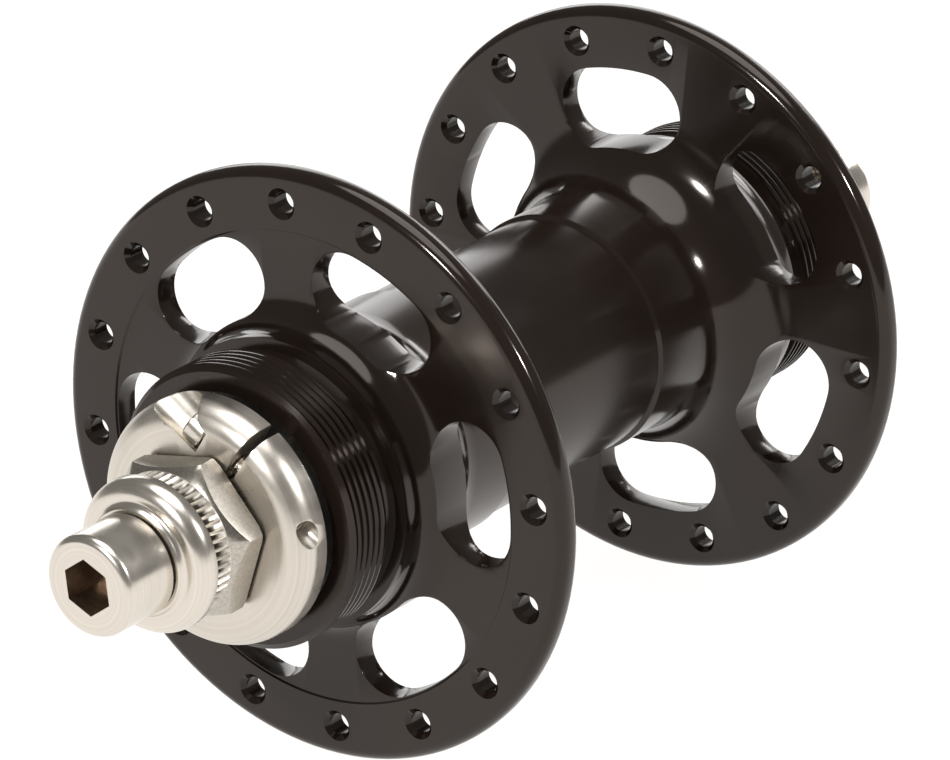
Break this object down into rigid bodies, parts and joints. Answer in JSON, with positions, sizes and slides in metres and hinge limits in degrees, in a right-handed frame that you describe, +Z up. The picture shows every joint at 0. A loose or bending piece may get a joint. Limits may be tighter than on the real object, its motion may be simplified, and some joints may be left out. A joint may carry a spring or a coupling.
{
  "type": "bicycle track hub",
  "caption": "Double-threaded high-flange track hub with kidney-slotted flanges, cartridge bearings, hollow axle, split preload collar and hexagon-socket axle bolts.",
  "frame": {"origin": "centre of the hub, halfway between the flanges on the axle's axis", "axes": "+Y along the axle towards the left-hand end, +Z up, +X to the side that faces right when looking along +Y"},
  "size_m": [0.0736, 0.1504, 0.0736],
  "materials": {
    "shell_black": "black anodised aluminium, satin on the turned faces and glossy in the rounds",
    "polished_aluminium": "turned and polished aluminium, clear anodised",
    "stainless_steel": "stainless steel, with a fine grained surface on the flats",
    "bearing_steel": "ground and polished bearing steel",
    "cage_brass": "pressed brass",
    "seal_rubber": "black nitrile rubber"
  },
  "bodies": {
    "axle": {"axle": "polished_aluminium", "left_spacer_collar": "polished_aluminium", "right_axle_nut": "stainless_steel", "left_axle_nut": "stainless_steel", "right_bearing_inner_race": "bearing_steel", "left_bearing_inner_race": "bearing_steel"},
    "hub_shell": {"hub_shell": "shell_black", "right_bearing_outer_race": "bearing_steel", "right_bearing_inner_seal": "seal_rubber", "right_bearing_outer_seal": "seal_rubber", "left_bearing_outer_race": "bearing_steel", "left_bearing_inner_seal": "seal_rubber", "left_bearing_outer_seal": "seal_rubber"},
    "right_ball_cage": {"right_bearing_cage": "cage_brass", "right_bearing_ball_01": "bearing_steel", "right_bearing_ball_02": "bearing_steel", "right_bearing_ball_03": "bearing_steel", "right_bearing_ball_04": "bearing_steel", "right_bearing_ball_05": "bearing_steel", "right_bearing_ball_06": "bearing_steel", "right_bearing_ball_07": "bearing_steel", "right_bearing_ball_08": "bearing_steel", "right_bearing_ball_09": "bearing_steel", "right_bearing_ball_10": "bearing_steel"},
    "right_dropout_washer": {"right_dropout_washer": "polished_aluminium"},
    "right_axle_bolt": {"right_axle_bolt": "polished_aluminium"},
    "left_ball_cage": {"left_bearing_cage": "cage_brass", "left_bearing_ball_01": "bearing_steel", "left_bearing_ball_02": "bearing_steel", "left_bearing_ball_03": "bearing_steel", "left_bearing_ball_04": "bearing_steel", "left_bearing_ball_05": "bearing_steel", "left_bearing_ball_06": "bearing_steel", "left_bearing_ball_07": "bearing_steel", "left_bearing_ball_08": "bearing_steel", "left_bearing_ball_09": "bearing_steel", "left_bearing_ball_10": "bearing_steel"},
    "left_dropout_washer": {"left_dropout_washer": "polished_aluminium"},
    "left_axle_bolt": {"left_axle_bolt": "polished_aluminium"},
    "preload_collar": {"preload_collar": "polished_aluminium"},
    "collar_pinch_screw": {"collar_pinch_screw": "stainless_steel"}
  },
  "joints": [
    {"name": "hub_spin", "type": "hinge", "parent": "axle", "child": "hub_shell", "pos_m": [0, 0, 0], "axis": [0, 1, 0], "continuous": true},
    {"name": "right_cage_orbit", "type": "hinge", "parent": "axle", "child": "right_ball_cage", "pos_m": [0, -0.0444, 0], "axis": [0, 1, 0], "continuous": true},
    {"name": "left_cage_orbit", "type": "hinge", "parent": "axle", "child": "left_ball_cage", "pos_m": [0, 0.0444, 0], "axis": [0, 1, 0], "continuous": true},
    {"name": "right_washer_travel", "type": "slide", "parent": "axle", "child": "right_dropout_washer", "axis": [0, -1, 0], "range_m": [0, 0.008]},
    {"name": "right_bolt_turn", "type": "hinge", "parent": "right_dropout_washer", "child": "right_axle_bolt", "pos_m": [0, 0, 0], "axis": [0, -1, 0], "range_deg": [0, 2304]},
    {"name": "left_washer_travel", "type": "slide", "parent": "axle", "child": "left_dropout_washer", "axis": [0, 1, 0], "range_m": [0, 0.008]},
    {"name": "left_bolt_turn", "type": "hinge", "parent": "left_dropout_washer", "child": "left_axle_bolt", "pos_m": [0, 0, 0], "axis": [0, 1, 0], "range_deg": [0, 2304]},
    {"name": "collar_turn", "type": "hinge", "parent": "axle", "child": "preload_collar", "pos_m": [0, -0.0535, 0], "axis": [0, -1, 0], "range_deg": [-90, 90]},
    {"name": "pinch_screw_turn", "type": "hinge", "parent": "preload_collar", "child": "collar_pinch_screw", "pos_m": [0.005, -0.0535, 0.00831], "axis": [-0.8572, 0, 0.515], "range_deg": [0, 360]}
  ],
  "couplings": [
    {"joint": "right_cage_orbit", "follows": "hub_spin", "ratio": 0.5907},
    {"joint": "left_cage_orbit", "follows": "hub_spin", "ratio": 0.5907},
    {"joint": "right_bolt_turn", "follows": "right_washer_travel", "rad_per_m": 5026.5},
    {"joint": "left_bolt_turn", "follows": "left_washer_travel", "rad_per_m": 5026.5}
  ]
}
